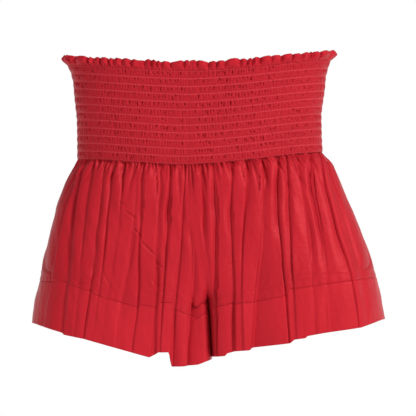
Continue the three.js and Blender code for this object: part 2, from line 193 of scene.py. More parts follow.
def ripple(u, v, size, seed, count=10):
    # A smooth random surface, about from -1 to 1: plane waves in random directions, as long as size.
    made = np.random.default_rng(seed)
    total = np.zeros(np.broadcast(u, v).shape)
    for _ in range(count):
        turn = made.uniform(0, np.pi)
        length = size * made.uniform(0.6, 1.6)
        total += np.sin(2 * np.pi * (u * np.cos(turn) + v * np.sin(turn)) / length + made.uniform(0, 6.28))
    return total / math.sqrt(count)


class bodyHalf:
    # One half of the shorts, side 1 for the left of the wearer and -1 for the right.

    def __init__(self, side):
        self.side = side
        self.word = "Left" if side > 0 else "Right"
        self.folds = foldsLeft if side > 0 else foldsRight
        self.seamLine = 6 if side > 0 else 11  # the fold line that is the side seam; line 0 is the middle

    def middle(self, level):
        # x of the middle line at a level, read off the outline table
        return np.interp(level, outline["levelMiddle"], outline["middle"])

    def plan(self, level):
        # For each level, the plan curve from the middle round the front to the outermost side: x from the
        # middle, y, and the running length. A quarter of a superellipse about the middle, whose centre moves
        # out below the split until, at the crotch, it is half of a closed leg.
        level = np.asarray(level, float)[:, None]
        width = np.interp(level, outline["level" + self.word], outline["width" + self.word])
        width = width - self.side * self.middle(level)
        depth = np.interp(level, outline["levelDepth"], outline["depth"])
        below = np.clip((level - layout["crotchLevel"]) / (layout["hemLevel"] - layout["crotchLevel"]), 0, 1)
        inner = 0.02 + layout["legGap"] * below  # never quite zero, so that the halves don't share a face
        parted = np.clip((level - layout["splitLevel"]) / (layout["crotchLevel"] - layout["splitLevel"]), 0, 1)
        centre = (1 - (1 - parted) ** 1.3) * 0.5 * (width + inner)
        reach = width - centre
        start = np.clip((inner - centre) / reach, -1, 1)
        power = 2 / (outline["plumpness"] + outline["squarer"] * parted)
        turn = np.arccos(np.sign(start) * np.abs(start) ** (1 / power))
        angle = turn * (1 - np.linspace(0, 1, outline["points"])[None, :])
        power = np.where(np.cos(angle) < 0, power, 2 / outline["plumpness"])
        x = centre + reach * np.sign(np.cos(angle)) * np.abs(np.cos(angle)) ** power
        y = -depth * np.clip(np.sin(angle), 0, 1) ** power
        step = np.hypot(np.diff(x, axis=1), np.diff(y, axis=1))
        length = np.concatenate([np.zeros((len(level), 1)), np.cumsum(step, axis=1)], axis=1)
        return x, y, length, width

    def height(self, level, place, x, even01):
        # z of a level: between the lines of the first and last elastic rows, the seam of the hem band and the
        # hem. On the front the last two lines step where one fold lies over another; on the back they are even.
        first, last, even = (
            np.interp(place, heights["place"], heights[line + self.word]) for line in ("firstRow", "lastRow", "hemBack")
        )
        hem, seam = (
            np.interp(x, steps[line + self.word], steps[line + self.word + "Z"]) for line in ("hem", "seam")
        )
        share = (hemSeam - lastRow) / (layout["hemLevel"] - lastRow)
        hem = hem + (even - hem) * even01
        seam = seam + (last + (even - last) * share - seam) * even01
        leg = np.clip((level - lastRow) / (hemSeam - lastRow), 0, 1)
        edge = np.clip((level - hemSeam) / (layout["hemLevel"] - hemSeam), 0, 1)
        plain = last + (even - 3 - last) * share * leg
        stepped = last + (seam - last) * leg
        z = plain + (stepped - plain) * smooth((leg - 0.55) / 0.45) + (hem - seam) * edge
        z = np.where(level < lastRow, first + (last - first) * level / lastRow, z)
        return np.where(level < 0, first - level, z)

    def place(self, level, share, out, along, down=0.0):
        # Points at a level (rows) and share (rows by columns), moved out along the normal, along the plan curve
        # and down, all in mm.
        x, y, length, width = self.plan(level)
        front = np.where(share > 1, 2 - share, share)
        places = length / length[:, -1:]
        px, py = interpRows(front, places, x), interpRows(front, places, y)
        slopeX = np.gradient(x, axis=1) / np.maximum(np.gradient(length, axis=1), 1e-6)
        slopeY = np.gradient(y, axis=1) / np.maximum(np.gradient(length, axis=1), 1e-6)
        tx, ty = interpRows(front, places, slopeX), interpRows(front, places, slopeY)
        size = np.hypot(tx, ty)
        tx, ty = tx / size, ty / size
        turned = np.where(share > 1, -1.0, 1.0)
        levels = np.asarray(level, float)[:, None]
        # where the two legs part, the folds die out towards the middle, so that the legs stay side by side
        parted = np.clip((levels - layout["splitLevel"]) / 25, 0, 1)
        calm = 1 - parted * (1 - smooth(px / 9))
        out, along = out * calm, along * calm
        worldX = np.maximum(px + ty * out + turned * tx * along, 0)
        worldY = turned * (py - tx * out + ty * along * turned)
        fraction = np.clip(px / width, 0, 1)
        bodyX = self.middle(levels) + self.side * worldX
        even01 = smooth((share - 0.84) / 0.16)
        z = self.height(levels, fraction, self.side * bodyX, even01) - down
        # above the crotch both halves meet at the same height on the middle line
        onMiddle = [bodyHalf(side).height(levels, 0 * fraction, side * self.middle(levels), even01) for side in (1, -1)]
        near = (1 - smooth(px / 12)) * (1 - smooth((levels - layout["crotchLevel"]) / 20))
        z += self.side * 0.5 * (onMiddle[1] - onMiddle[0]) * near
        return np.stack([bodyX, worldY, z], axis=2)

    def foldLines(self, level):
        # Shares and strengths of all fold lines at each level, from the middle of the front (0) to the middle
        # of the back (2). The front ones follow the folds table and the back ones are spread at random.
        leg = (np.asarray(level, float) - lastRow) / (layout["hemLevel"] - lastRow)
        x, _, length, width = self.plan(level)
        shares, deeps, overs = [np.zeros(len(level))], [np.full(len(level), 0.45)], [0]
        heightsOut = np.array([-0.3] + foldHeights + [1.3])
        for foldX, deep, over, _ in self.folds:
            xs = np.array(foldX, float)
            ends = [xs[0] - 1.5 * (xs[1] - xs[0]), xs[-1] + 1.5 * (xs[-1] - xs[-2])]
            lineX = np.interp(leg, heightsOut, np.concatenate([ends[:1], xs, ends[1:]]))
            lineX = blurRows(lineX[:, None], max(len(level) / 14, 1))[:, 0]
            fromMiddle = self.side * (lineX - self.middle(level))
            share = interpRows((fromMiddle / width[:, 0])[:, None], x / width, length / length[:, -1:])[:, 0]
            shares.append(share)
            deeps.append(np.interp(leg, foldHeights, deep))
            overs.append(over)
        made = np.random.default_rng(11 if self.side > 0 else 12)
        for k in range(backFolds["count"]):
            off = made.uniform(-backFolds["spread"], backFolds["spread"])
            at = 1.04 + 0.92 * (k + 0.5 + off) / backFolds["count"]
            lean = made.uniform(-backFolds["lean"], backFolds["lean"])
            shares.append(at + lean * leg + backFolds["sway"] * wander(leg, 1.1, 300 + k))
            start, end = made.uniform(0.35, 1), made.uniform(0.0, 0.8)
            if k % 3 == 1:
                end *= 0.25
            deeps.append(np.clip(start + (end - start) * smooth(leg * 1.2), 0, 1))
            overs.append(1 if made.random() < 0.5 else -1)
        shares.append(np.full(len(level), 2.0))
        deeps.append(np.full(len(level), 0.45))
        overs.append(0)
        shares = np.array(shares)
        apart = 0.004  # lines never cross
        for i in range(1, len(shares)):
            shares[i] = np.maximum(shares[i], shares[i - 1] + apart)
        shares[-1] = 2
        for i in range(len(shares) - 2, 0, -1):
            shares[i] = np.minimum(shares[i], shares[i + 1] - apart)
        deeps = np.array(deeps)
        for i in range(1, len(deeps) - 1):
            deeps[i] *= 1 + 0.3 * wander(leg, 0.55, 400 + i + 50 * self.side, 2)
        return shares, deeps, overs

    def seamShare(self, level):
        # share of the side seam at each level
        return self.foldLines(level)[0][self.seamLine]


folding = {
    "depth": 6.0, "overlap": 3.4, "roll": 3.2, "bow": 0.5,  # mm
    "leanAt": [0.15, 0.5, 0.9], "backLean": 0.12,  # heights of the three leans, and how far the back ones stray
    "broad": 0.4, "small": 0.16, "upright": 0.3, "fine": 0.07,  # ripples 52, 16, 17 and 6.5 mm long
    "heldIn": 1.1, "turnedIn": 1.35,  # at the last elastic row, and how far the top edge lies inside the waistband
}


def foldedSheet(half, level, back, spacing):
    # Cloth with pressed folds. Between two fold lines the cloth is a facet: it comes up from the line under its
    # neighbour on a long slope, or turns over the line in a tight roll that hangs past it. The facet also leans,
    # bows out a little, and carries gathers and soft ripples.
    shares, deeps, overs = half.foldLines(level)
    facets = range(half.seamLine, len(shares) - 1) if back else range(0, half.seamLine)
    total = half.plan(level)[2][:, -1]
    legRow = (np.asarray(level, float) - lastRow) / (layout["hemLevel"] - lastRow)
    leg = legRow[:, None]
    hangs = [np.zeros(len(level))] * len(shares)
    for line in range(1, len(shares) - 1):
        inner = (shares[line] - shares[line - 1]) * total
        outer = (shares[line + 1] - shares[line]) * total
        top, under = (inner, outer) if overs[line] == 1 else (outer, inner)
        hang = folding["overlap"] * smooth((deeps[line] - 0.3) / 0.6) * np.clip(top / 16, 0, 1) ** 1.3
        hang *= smooth(legRow / 0.14)
        hangs[line] = np.minimum(hang, 0.28 * under)
    shareParts, outParts, alongParts = [], [], []
    for i in facets:
        widths = (shares[i + 1] - shares[i]) * total
        columns = int(np.clip(round(widths.mean() / spacing), 7, 60))
        s = 0.5 - 0.5 * np.cos(np.pi * np.linspace(0, 1, columns + 1))  # columns crowd towards the fold lines
        s = 0.35 * np.linspace(0, 1, columns + 1) + 0.65 * s
        if i != facets[-1]:
            s = s[:-1]
        s = s[None, :]
        w = widths[:, None]
        out = np.zeros((len(level), s.shape[1]))
        along = np.zeros_like(out)
        for end, line, toEnd in ((0, i, s), (1, i + 1, 1 - s)):
            onTop = overs[line] == (1 if end == 1 else -1)
            distance = toEnd * w
            size = folding["depth"] * deeps[line][:, None] ** 0.9 * np.clip(w / 14, 0.35, 1)
            hang = hangs[line][:, None]
            if onTop:
                roll = np.minimum(folding["roll"] + 1.3 * wander(leg, 0.7, 450 + line, 2), 0.3 * w)
                t = np.clip(distance / roll, 0, 1)
                out -= size * (1 - t) ** 1.5 * (1 + 0.5 * t)
                shift = hang * np.clip(t * 6.75 * (1 - t) ** 2, 0, 1.2)
                far = smooth(1 - np.abs(distance - roll) / np.maximum(0.6 * w, 3))
                shift += hang * 0.55 * far * (distance > roll)
                along += shift if end == 1 else -shift
            elif overs[line] == 0:
                out -= size * np.exp(-((distance / 4.0) ** 2))
            else:
                slope = np.maximum(0.6 * w, 3) - np.minimum(1.3 * hang, 0.3 * w)
                t = np.clip((distance - 1.3 * hang) / slope, 0, 1)
                out -= size * (1 - t) ** 1.7
        if 0 < i + 1 <= len(half.folds):
            lean = np.interp(leg, folding["leanAt"], half.folds[i][3])
        else:
            lean = folding["backLean"] * wander(leg, 0.9, 500 + i, 2)
        taper = smooth(np.minimum(s, 1 - s) * w / np.minimum(2.2, 0.25 * w))
        out += lean * (s - 0.5) * w * taper * smooth(leg / 0.08)
        bow = folding["bow"] * np.clip(w / 22, 0.2, 1.1)
        out += bow * (4 * s * (1 - s)) ** 0.8 * (0.9 - 0.5 * leg)
        shareParts.append(shares[i][:, None] + s * (shares[i + 1] - shares[i])[:, None])
        outParts.append(out)
        alongParts.append(along)
    share = np.concatenate(shareParts, axis=1)
    out = np.concatenate(outParts, axis=1)
    along = np.concatenate(alongParts, axis=1)
    mmAlong = share * total[:, None]
    drop = np.asarray(level, float)[:, None] - lastRow
    out += gathersAt(share, drop, leg, 23 if half.side > 0 else 21)
    out += folding["broad"] * ripple(mmAlong, drop, 52, 31) * smooth(drop / 30)
    out += folding["small"] * ripple(mmAlong, drop * 0.6, 16, 32) * smooth(drop / 20)
    upright = smooth(drop / 25) * (1 - 0.75 * smooth((drop - 125) / 20))
    out += folding["upright"] * ripple(mmAlong, drop * 0.16, 17, 33) * upright
    out += folding["fine"] * ripple(mmAlong, drop, 6.5, 34, 16)
    # at the last elastic row the cloth is held in, and it springs out below
    out -= folding["heldIn"] * (1 - smooth(drop / 7))
    out = (out + folding["turnedIn"]) * smooth((drop + 1.5) / 3.5) - folding["turnedIn"]
    return share, out, along


gathers = {  # mm; every fifth gather is a long one
    "count": 128, "halfGirth": 200.0, "width": (0.8, 1.7), "slant": 4, "deepest": 5.5,
    "short": (7, 26), "shortDepth": (2.0, 5.4), "long": (28, 65), "longDepth": (2.2, 3.8),
}


def gathersAt(share, drop, leg, seed):
    # Narrow valleys that start at the last elastic row: each is a bell curve across, widens downwards and fades
    # to nothing over its length.
    made = np.random.default_rng(seed)
    valleys = np.zeros_like(share)
    for k in range(gathers["count"]):
        at = 2 * (k + made.uniform(0.0, 1.0)) / gathers["count"]
        kind = "short" if k % 5 else "long"
        length = made.uniform(*gathers[kind])
        wide = made.uniform(*gathers["width"])
        deep = made.uniform(*gathers[kind + "Depth"])
        slant = made.uniform(-gathers["slant"], gathers["slant"]) * length / 24
        distance = (share - at) * gathers["halfGirth"] * (1 + 0.3 * leg) - slant * np.clip(drop / length, 0, 1.2)
        bell = np.exp(-np.abs(distance / (wide * (1 + drop / 40))) ** 1.5)
        valleys -= deep * bell * smooth(1 - drop / length) ** 1.3
    return np.maximum(valleys, -gathers["deepest"])


def meshFrom(name, points, material, thickness=None, closeRow=False, uv=None):
    # A grid of points, rows by columns, as a mesh of quads: point (row, column) is joined to its neighbours to
    # the right and below. Millimetres become metres.
    rows, columns = points.shape[:2]
    vertices = points.reshape(-1, 3) * 0.001
    index = np.arange(rows * columns).reshape(rows, columns)
    if closeRow:
        index = np.concatenate([index, index[:, :1]], axis=1)
    quads = np.stack([index[:-1, :-1], index[:-1, 1:], index[1:, 1:], index[1:, :-1]], axis=2).reshape(-1, 4)
    mesh = bpy.data.meshes.new(name)
    mesh.vertices.add(len(vertices))
    mesh.vertices.foreach_set("co", vertices.astype(np.float32).ravel())
    mesh.loops.add(quads.size)
    mesh.loops.foreach_set("vertex_index", quads.astype(np.int32).ravel())
    mesh.polygons.add(len(quads))
    mesh.polygons.foreach_set("loop_start", np.arange(0, quads.size, 4, dtype=np.int32))
    mesh.polygons.foreach_set("use_smooth", np.ones(len(quads), bool))
    mesh.update(calc_edges=True)
    if uv is not None:
        layer = mesh.uv_layers.new(name="cloth")
        layer.data.foreach_set("uv", (uv.reshape(-1, 2)[quads.ravel()] * 0.001).astype(np.float32).ravel())
    mesh.validate()
    piece = bpy.data.objects.new(name, mesh)
    bpy.context.collection.objects.link(piece)
    mesh.materials.append(material)
    if thickness:
        solid = piece.modifiers.new("thickness", "SOLIDIFY")
        solid.thickness = thickness * 0.001
        solid.offset = -1
    return piece


def clothFrom(half, name, points, across, level, material, thickness=layout["clothThickness"]):
    # A grid of cloth with its UV map, the millimetres across and down. Rows run down and columns away from the
    # middle, so the mirror half is turned round to face outwards.
    uv = np.stack([across, np.broadcast_to(level[:, None], across.shape)], axis=2)
    if half.side < 0:
        points, uv = points[:, ::-1], uv[:, ::-1]
    return meshFrom(name, points, material, thickness, uv=uv)


def toLinear(code):
    # An sRGB hex colour as linear red, green, blue and alpha.
    channels = [int(code[i:i + 2], 16) / 255 for i in (1, 3, 5)]
    return [c / 12.92 if c <= 0.04045 else ((c + 0.055) / 1.055) ** 2.4 for c in channels] + [1]


def addNode(tree, kind, settings=None, **inputs):
    # A shader node with its settings and its inputs: a value, or another node's output.
    node = tree.nodes.new(kind)
    for name, value in (settings or {}).items():
        setattr(node, name, value)
    for name, value in inputs.items():
        numbered = name[0] == "_" and name[1:].isdigit()
        socket = node.inputs[int(name[1:]) if numbered else name.replace("_", " ")]
        if isinstance(value, bpy.types.NodeSocket):
            tree.links.new(value, socket)
        else:
            socket.default_value = value
    return node


def clothMaterial(name, light, dark, roughness, gloss, weaveDepth, rowPitch=None):
    # Silk: a light and a dark of one dye, mixed by soft clouds, with a fine slub across the weave.
    material = bpy.data.materials.new(name)
    material.use_nodes = True
    tree = material.node_tree
    shader = tree.nodes["Principled BSDF"]
    place = addNode(tree, "ShaderNodeTexCoord")
    cloud = addNode(
        tree, "ShaderNodeTexNoise", Vector=place.outputs["Object"], Scale=16.0, Detail=3.0, Roughness=0.55
    )
    mix = addNode(tree, "ShaderNodeMix", {"data_type": "RGBA"}, Factor=cloud.outputs["Fac"])
    mix.inputs[6].default_value = toLinear(dark)
    mix.inputs[7].default_value = toLinear(light)
    dyed = mix.outputs[2]
    if rowPitch:
        # the sewing thread of each elastic row, a line on the face of the cloth, mixed towards a lighter red: a painted
        # highlight for the light the raised row catches from above
        across = addNode(tree, "ShaderNodeSeparateXYZ", Vector=place.outputs["UV"])
        row = addNode(
            tree, "ShaderNodeMath", {"operation": "PINGPONG"}, _0=across.outputs["Y"], _1=rowPitch * 0.0005
        )
        near = addNode(
            tree, "ShaderNodeMapRange", Value=row.outputs[0],
            From_Min=0.0003, From_Max=0.0009, To_Min=0.3, To_Max=0.0,
        )
        thread = addNode(tree, "ShaderNodeMix", {"data_type": "RGBA"}, Factor=near.outputs["Result"])
        tree.links.new(dyed, thread.inputs[6])
        thread.inputs[7].default_value = toLinear("#d24a52")
        dyed = thread.outputs[2]
    tree.links.new(dyed, shader.inputs["Base Color"])
    # Threads are about 0.1 mm apart, too fine to show, so the weave is drawn at about 0.7 mm.
    stretch = addNode(tree, "ShaderNodeMapping", Vector=place.outputs["UV"], Scale=(1500.0, 420.0, 1.0))
    weave = addNode(tree, "ShaderNodeTexNoise", Vector=stretch.outputs["Vector"], Scale=1.0, Detail=2.0)
    bump = addNode(tree, "ShaderNodeBump", Strength=weaveDepth, Distance=0.0003, Height=weave.outputs["Fac"])
    # Crinkles about 5 mm long are left from wearing.
    crinkle = addNode(
        tree, "ShaderNodeTexNoise", Vector=place.outputs["Object"], Scale=210.0, Detail=2.5, Roughness=0.6
    )
    bump = addNode(
        tree, "ShaderNodeBump", Strength=0.22, Distance=0.0008,
        Height=crinkle.outputs["Fac"], Normal=bump.outputs["Normal"],
    )
    tree.links.new(bump.outputs["Normal"], shader.inputs["Normal"])
    shader.inputs["Roughness"].default_value = roughness
    shader.inputs["IOR"].default_value = 1.5
    shader.inputs["Specular IOR Level"].default_value = 0.4
    shader.inputs["Specular Tint"].default_value = toLinear(gloss)
    return material


# Silk satin, dyed and pressed: long floating threads give a broad gloss in the colour of the dye.
silkSatin = clothMaterial("silkSatinPressed", "#aa1c27", "#991721", 0.46, "#ff6a6e", 0.2)
# The same satin in the two-layer hem bands, painted a little lighter: painted light for the light these flatter bands
# catch from below.
silkBandPaintedLight = clothMaterial("silkSatinBandPaintedLight", "#af1e29", "#9e1923", 0.46, "#ff6a6e", 0.2)
# The same satin drawn up on elastic, painted darker than the plain satin: painted shade for its crowded creases, which
# also break the gloss into small lights.
silkShirredPaintedShade = clothMaterial(
    "silkSatinShirredPaintedShade", "#a21b25", "#911620", 0.48, "#ff6a6e", 0.25, rowPitch=layout["rowPitch"]
)
# Thin plain-woven silk for the pockets: duller, because the threads cross one by one.
silkPocket = clothMaterial("silkHabotaiPocket", "#a50b16", "#990913", 0.5, "#ff8a8c", 0.2)
# Elastic wrapped in matt thread.
elasticThread = clothMaterial("elasticThreadCovered", "#9c0e17", "#8c0c14", 0.8, "#ffffff", 0.3)
# Spun polyester sewing thread, matt and a little darker than the cloth.
overlockThread = clothMaterial("polyesterThreadSpun", "#980e17", "#880c14", 0.7, "#ffffff", 0.4)
# Satin ribbon, woven and left blank: soft white with a faint gloss.
labelTape = clothMaterial("satinRibbonWoven", "#f2f0ec", "#e9e6e0", 0.5, "#ffffff", 0.3)
print("materials made")


halves = [bodyHalf(1), bodyHalf(-1)]


def bendWithLeg(piece):
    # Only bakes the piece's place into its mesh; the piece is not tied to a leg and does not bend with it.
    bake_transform(piece)


pressed = [  # short creases pressed into the front: x and z of both ends, and how deep
    (-97.2, -167.3, -88.8, -171.6, 0.8), (-89.4, -178.3, -77.3, -186.8, 1.1), (-78.5, -199.6, -70.0, -208.7, 1.1),
    (-70.0, -214.8, -52.9, -231.8, 1.2), (-52.9, -239.1, -44.4, -245.2, 0.9), (-56.6, -262.3, -49.3, -268.3, 0.8),
    (-155.2, -257.4, -146.6, -263.5, 0.5), (-146.6, -263.5, -130.8, -265.9, 0.45),
    (-130.8, -265.9, -126.0, -252.5, 0.4), (-106.5, -269.6, -116.2, -250.1, 0.35),
    (108.9, -240.4, 110.1, -256.2, 0.5), (110.1, -256.2, 118.7, -267.1, 0.6), (118.7, -267.1, 133.3, -270.2, 0.6),
    (133.3, -270.2, 146.6, -264.7, 0.6), (146.6, -264.7, 150.3, -247.7, 0.4), (31.0, -247.7, 46.9, -235.5, 0.4),
    (-167.3, -264.7, -160.0, -274.4, 0.35), (17.6, -286.6, 32.3, -275.7, 0.5),
]

legs = {
    "frontSpacing": 0.85, "backSpacing": 1.0, "uvAcross": 200,  # mm between columns, and across on the UV map
    "frontShare": 0.66, "backShare": 1.38,  # of a half's girth, as cut
    "panelFullness": 1.25, "bandFullness": 1.05, "lengthOver": 1.05, "taper": 0.72,
    "stitchWaves": 31, "stitchAbove": 1.4, "stitchDip": 0.3, "stitchWide": 1.1,
    "step": 0.1, "stepWide": 1.5, "pull": 0.6, "pullAbove": 3.0, "pullWide": 3.5,
}
stitchRows = {1: [], -1: []}


def pressCreases(out, points):
    # Each crease is a narrow valley with a ridge beside it, along a straight line seen from the front.
    for x0, z0, x1, z1, deep in pressed:
        size = math.hypot(x1 - x0, z1 - z0)
        run = ((points[..., 0] - x0) * (x1 - x0) + (points[..., 2] - z0) * (z1 - z0)) / size
        off = ((points[..., 0] - x0) * (z1 - z0) - (points[..., 2] - z0) * (x1 - x0)) / size
        ends = smooth((run + 1) / 2.5) * smooth((size + 1 - run) / 2.5)
        ridge = 0.7 * np.exp(-(((off - 2.4) / 2.0) ** 2))
        out += ends * deep * (ridge - 1.9 * np.exp(-((off / 0.95) ** 2)))


def buildLegs():
    # One folded sheet for each quarter, from the last elastic row to the hem, cut at the seam of the hem band.
    # The row of stitches there is a dip, a bell curve of the level, and pulls fine waves into the cloth above.
    for half in halves:
        lower = half.word.lower()
        for back in (False, True):
            word = "back" if back else "front"
            nearWaist = np.linspace(lastRow - 1.5, lastRow + 20, 22)[:-1]
            panelLevels = np.concatenate([nearWaist, np.linspace(lastRow + 20, hemSeam, 104)])
            bandLevels = np.linspace(hemSeam, layout["hemLevel"], 40)
            levels = np.concatenate([panelLevels, bandLevels[1:]])
            share, out, along = foldedSheet(half, levels, back, legs[word + "Spacing"])
            stitched = np.exp(-(((levels - hemSeam) / legs["stitchWide"]) ** 2))[:, None]
            doubled = smooth((levels - hemSeam) / legs["stepWide"])[:, None]
            tight = 0.35 * np.sin(share * 2 * np.pi * legs["stitchWaves"] + 3 * wander(share, 0.3, 5))
            nearSeam = np.exp(-(np.abs(levels - hemSeam + legs["pullAbove"]) / legs["pullWide"]) ** 2)[:, None]
            out += -legs["stitchDip"] * stitched + legs["step"] * doubled + legs["pull"] * tight * nearSeam
            if not back:
                pressCreases(out, half.place(levels, share, out, along))
            points = half.place(levels, share, out, along)
            across = share * legs["uvAcross"]
            cut = len(panelLevels)
            row = int(np.argmin(np.abs(levels - (hemSeam - legs["stitchAbove"]))))
            row = slice(row, row + 1)
            outer = half.place(levels[row], share[row], out[row] + 0.5, along[row])[0]
            stitchRows[half.side].append((points[row][0], outer - points[row][0]))
            girth = half.plan(levels[-1:])[2][0, -1] * legs[word + "Share"]
            panel = {
                "name": f"{word}Panel{half.word}", "rows": slice(0, cut), "material": silkSatin,
                "nodes": (f"hip_panel_{word}_{lower}", f"leg_panel_{word}_{lower}"),
                "wide": girth * legs["panelFullness"], "tall": (hemSeam - lastRow) * legs["lengthOver"],
                "taper": legs["taper"], "hangsFrom": f"{word}Shirring{half.word}",
            }
            band = {
                # the hem bands take the satin painted lighter, painted light for the light they catch from below
                "name": f"{word}HemBand{half.word}", "rows": slice(cut - 1, None), "material": silkBandPaintedLight,
                "nodes": (f"hem_band_{word}_{lower}",),
                "wide": girth * legs["bandFullness"], "tall": layout["hemBand"] * legs["lengthOver"],
                "taper": 1.0, "hangsFrom": panel["name"],
            }
            for cloth in (panel, band):
                rows, wide, tall = cloth["rows"], cloth["wide"] * 0.001, cloth["tall"] * 0.001
                piece = clothFrom(half, cloth["name"], points[rows], across[rows], levels[rows], cloth["material"])
                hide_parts(*cloth["nodes"])
                bendWithLeg(piece)
    print("legs made")


buildLegs()


shirring = {  # mm
    "puckerPitch": 3.6, "creaseEvery": 2.9, "puckerDepth": 2.6, "puffDepth": 0.9, "rowThread": 0.6, "seamStrip": 4.5,
    "inset": 1.4, "deepest": 2.6, "frontSpacing": 0.55, "backSpacing": 0.75, "rowsPerPitch": 11, "across": 185,
    "uvAcross": 190, "fullness": 1.2, "tall": 118,
}
shirringSeam = {1: 0.60, -1: 0.735}  # share of the side seam


def puckers(half, level, share, total, seamShare):
    # Between two elastic rows the cloth puffs out more and more downwards and tucks in at the next row, with a
    # fine raised line there. Sharp upright puckers start under each row and fade. The seams lie flatter.
    rows = level / layout["rowPitch"]
    rowNumber = np.floor(rows)
    f = rows - rowNumber
    mmAlong = share * total
    waver = 0.9 * wander(mmAlong + 37 * rowNumber, 30, 50 + half.side, 2)
    crease = np.abs(np.sin(np.pi * mmAlong / shirring["puckerPitch"] + waver + 1.9 * rowNumber)) ** 0.6
    creases = 0.3 * shirring["puckerDepth"] * (crease - 0.75) * (0.35 + 0.65 * np.exp(-(((f - 0.2) / 0.3) ** 2)))
    made = np.random.default_rng(81 + half.side)
    perRow = int(2 * total.mean() / shirring["creaseEvery"])
    for k in range(layout["rows"]):
        inRow = slice(*np.searchsorted(rows[:, 0], [k - 0.001, k + 0.999]))
        if inRow.stop <= inRow.start:
            continue
        at = 2 * (np.arange(perRow) + made.uniform(0, 1, perRow)) / perRow
        deep = shirring["puckerDepth"] * made.uniform(0.15, 1, perRow) ** 1.6
        wide = made.uniform(0.45, 0.85, perRow)
        top = made.uniform(0.02, 0.3, perRow)
        long = made.uniform(0.2, 0.62, perRow)
        slant = made.uniform(-1.3, 1.3, perRow)
        g = (f[inRow, :1, None] - top) / long
        body = np.where((g > 0) & (g < 1), np.sin(np.pi * np.clip(g, 0, 1)) ** 0.5, 0)
        distance = (share[inRow][:, :, None] - at) * total.mean() - slant * g
        creases[inRow] -= (deep * body * np.exp(-((distance / wide) ** 2))).sum(2)
    edge = np.minimum(np.minimum(np.abs(share), np.abs(2 - share)), np.abs(share - seamShare)) * total
    flat = smooth(1.5 - edge / shirring["seamStrip"])
    puff = np.sin(np.pi * np.clip(f, 0, 1) ** 1.15) ** 0.6
    line = np.exp(-((np.minimum(f, 1 - f) / 0.05) ** 2))
    out = shirring["puffDepth"] * puff * (1 - 0.4 * flat)
    out += np.maximum(creases, -shirring["deepest"]) * (1 - 0.7 * flat)
    out += shirring["rowThread"] * line
    return out - shirring["inset"]


def buildShirring(half, back, name):
    # The outer wall of the waistband, from the first elastic row to the last, with its puckers.
    word = "back" if back else "front"
    seamAt = shirringSeam[half.side]
    ends = (seamAt, 2.0) if back else (0.0, seamAt)
    level = np.linspace(0, lastRow, (layout["rows"] - 1) * shirring["rowsPerPitch"] + 1)
    total = half.plan(level)[2][:, -1][:, None]
    columns = int((ends[1] - ends[0]) * shirring["across"] / shirring[word + "Spacing"])
    share = np.broadcast_to(np.linspace(*ends, columns), (len(level), columns)).copy()
    out = puckers(half, level[:, None] + 0 * share, share, total, seamAt)
    points = half.place(level, share, out, np.zeros_like(share))
    # the shirred band takes the satin painted darker, painted shade for its creases
    band = clothFrom(half, name, points, share * shirring["uvAcross"], level, silkShirredPaintedShade)
    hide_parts(f"shirred_waist_{word}_{half.word.lower()}")
    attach(band, "hips")
    flatWidth = float(total.mean()) * 0.001 * (ends[1] - ends[0]) * shirring["fullness"]
    return ends, flatWidth


ruffle = {  # mm, for one half
    "height": 12.5, "lobeSize": 8.0, "lobes": 18, "spacing": 0.6, "puckerPitch": 3.6, "quietEnds": 7, "tall": 13.5,
}


def buildRuffle(half, back, ends):
    # The heading above the first row: rounded waves, the root of a sine across, that grow upwards from the row,
    # with small puckers at their foot and an edge that dips between them.
    word = "back" if back else "front"
    up = np.linspace(0, 1, 16)
    level = -ruffle["height"] * up[::-1]
    columns = int((ends[1] - ends[0]) * shirring["uvAcross"] / ruffle["spacing"])
    share = np.broadcast_to(np.linspace(*ends, columns), (len(up), columns)).copy()
    rise = up[::-1][:, None]
    across = share * shirring["uvAcross"]
    inside = smooth(np.minimum(share, 2 - share) * shirring["uvAcross"] / ruffle["quietEnds"])
    turn = ruffle["lobes"] * share + 0.6 * wander(share, 0.3, 61 + half.side, 3)
    lobe = np.abs(np.sin(np.pi * turn)) ** 0.4
    size = ruffle["lobeSize"] * (1 + 0.45 * wander(share, 0.17, 63, 2))
    grow = smooth(rise * 1.6) * (1 - 0.25 * rise)
    out = -1.2 + inside * (size * grow * (lobe - 0.85)) + 1.2 * np.sin(np.pi * rise) + 0.6 * rise
    along = inside * grow * (1.3 * np.sin(2 * np.pi * turn) + 1.2 * wander(share, 0.09, 64, 2))
    fine = np.abs(np.sin(np.pi * across / ruffle["puckerPitch"] + 2 * wander(across, 30, 65, 2))) ** 0.6
    out += 1.5 * inside * (fine - 0.8) * np.clip(1 - rise * 1.8, 0, 1)
    down = rise * (1.3 * wander(share, 0.3, 66, 2) + 2.4 * (1 - lobe) + 0.4)
    points = half.place(level, share, out, along, down)
    heading = clothFrom(half, f"{word}Heading{half.word}", points, across, level, silkSatin)
    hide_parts(f"heading_ruffle_{word}_{half.word.lower()}")
    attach(heading, "hips")


for half in halves:
    for back in (False, True):
        bandName = f"{'back' if back else 'front'}Shirring{half.word}"
        bandEnds, bandWidth = buildShirring(half, back, bandName)
        buildRuffle(half, back, bandEnds)
print("waistband made")


